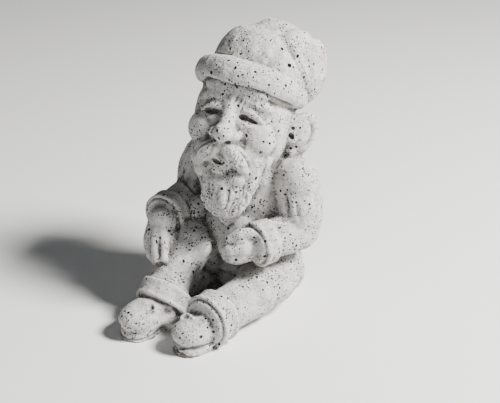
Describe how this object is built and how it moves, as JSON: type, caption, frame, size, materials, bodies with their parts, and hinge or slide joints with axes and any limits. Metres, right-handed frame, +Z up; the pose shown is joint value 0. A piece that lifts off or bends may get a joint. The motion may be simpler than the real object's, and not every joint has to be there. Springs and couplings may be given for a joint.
{
  "type": "garden gnome",
  "caption": "Bearded garden gnome cast in stone, sitting on the ground with one knee raised and a soft folded hat.",
  "frame": {"origin": "middle of the figure's footprint, on the ground", "axes": "+Z up; the gnome faces -Y; its left side is +X"},
  "size_m": [0.1644, 0.2256, 0.2672],
  "materials": {
    "cast_stone": "dry cast stone, pale and mottled, with small dark air pits"
  },
  "bodies": {
    "root": {"beard": "cast_stone", "cuff_left": "cast_stone", "cuff_right": "cast_stone", "ground_web": "cast_stone", "hand_left": "cast_stone", "hand_right": "cast_stone", "hat_brim": "cast_stone", "hat_crown": "cast_stone", "hat_tip": "cast_stone", "head": "cast_stone", "jacket_body": "cast_stone", "moustache": "cast_stone", "shoe_left": "cast_stone", "shoe_right": "cast_stone", "sleeve_left": "cast_stone", "sleeve_right": "cast_stone", "sole_left": "cast_stone", "sole_right": "cast_stone", "trouser_leg_left": "cast_stone", "trouser_leg_right": "cast_stone", "trouser_seat": "cast_stone", "turn_up_left": "cast_stone", "turn_up_right": "cast_stone"}
  },
  "joints": []
}
